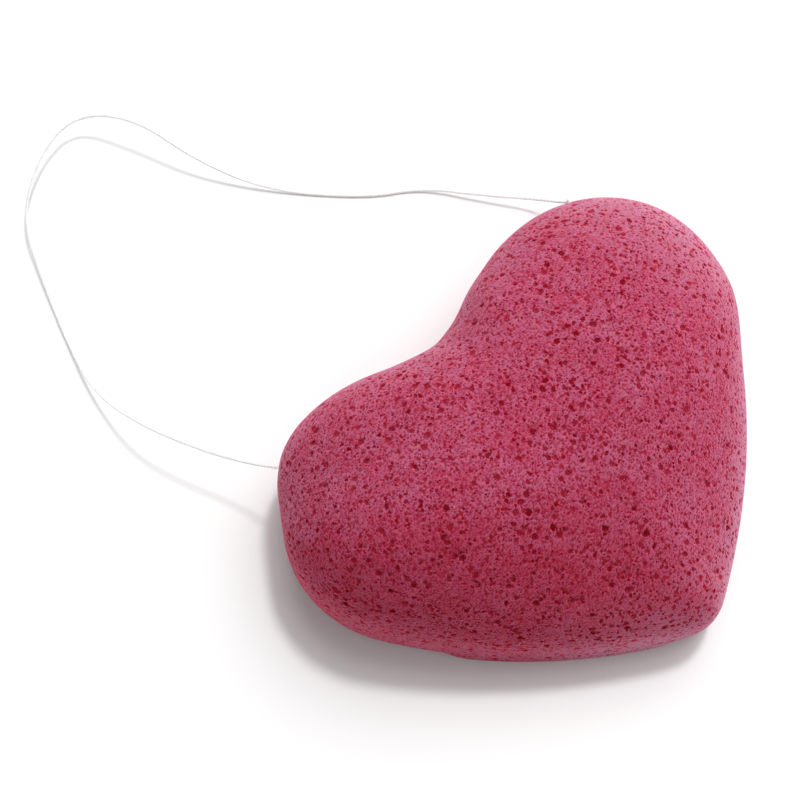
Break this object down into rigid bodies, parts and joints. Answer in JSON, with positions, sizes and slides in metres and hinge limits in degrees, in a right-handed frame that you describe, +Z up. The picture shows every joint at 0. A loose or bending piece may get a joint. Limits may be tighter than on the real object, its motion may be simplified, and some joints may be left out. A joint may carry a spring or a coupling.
{
  "type": "konjac sponge",
  "caption": "Soft heart-shaped konjac face sponge, flat underneath and domed on top, with a thin cotton thread loop through its lobes for hanging it up to dry.",
  "frame": {"origin": "on the surface that the sponge lies on, at the middle of the sponge's own box", "axes": "+X across the heart from lobe to lobe, +Y from the heart's point to its notch and on to the thread's loop, +Z up from the flat face to the crown"},
  "size_m": [0.0823, 0.1289, 0.0285],
  "materials": {
    "sponge": "matte",
    "thread": "matte"
  },
  "bodies": {
    "sponge": {"sponge_body": "sponge", "thread_inside": "thread", "thread_knot": "thread"},
    "loop": {"thread_loop": "thread"}
  },
  "joints": [
    {"name": "loop_swing", "type": "hinge", "parent": "sponge", "child": "loop", "pos_m": [0, 0.02823, 0.0125], "axis": [1, 0, 0], "range_deg": [0, 90]}
  ]
}
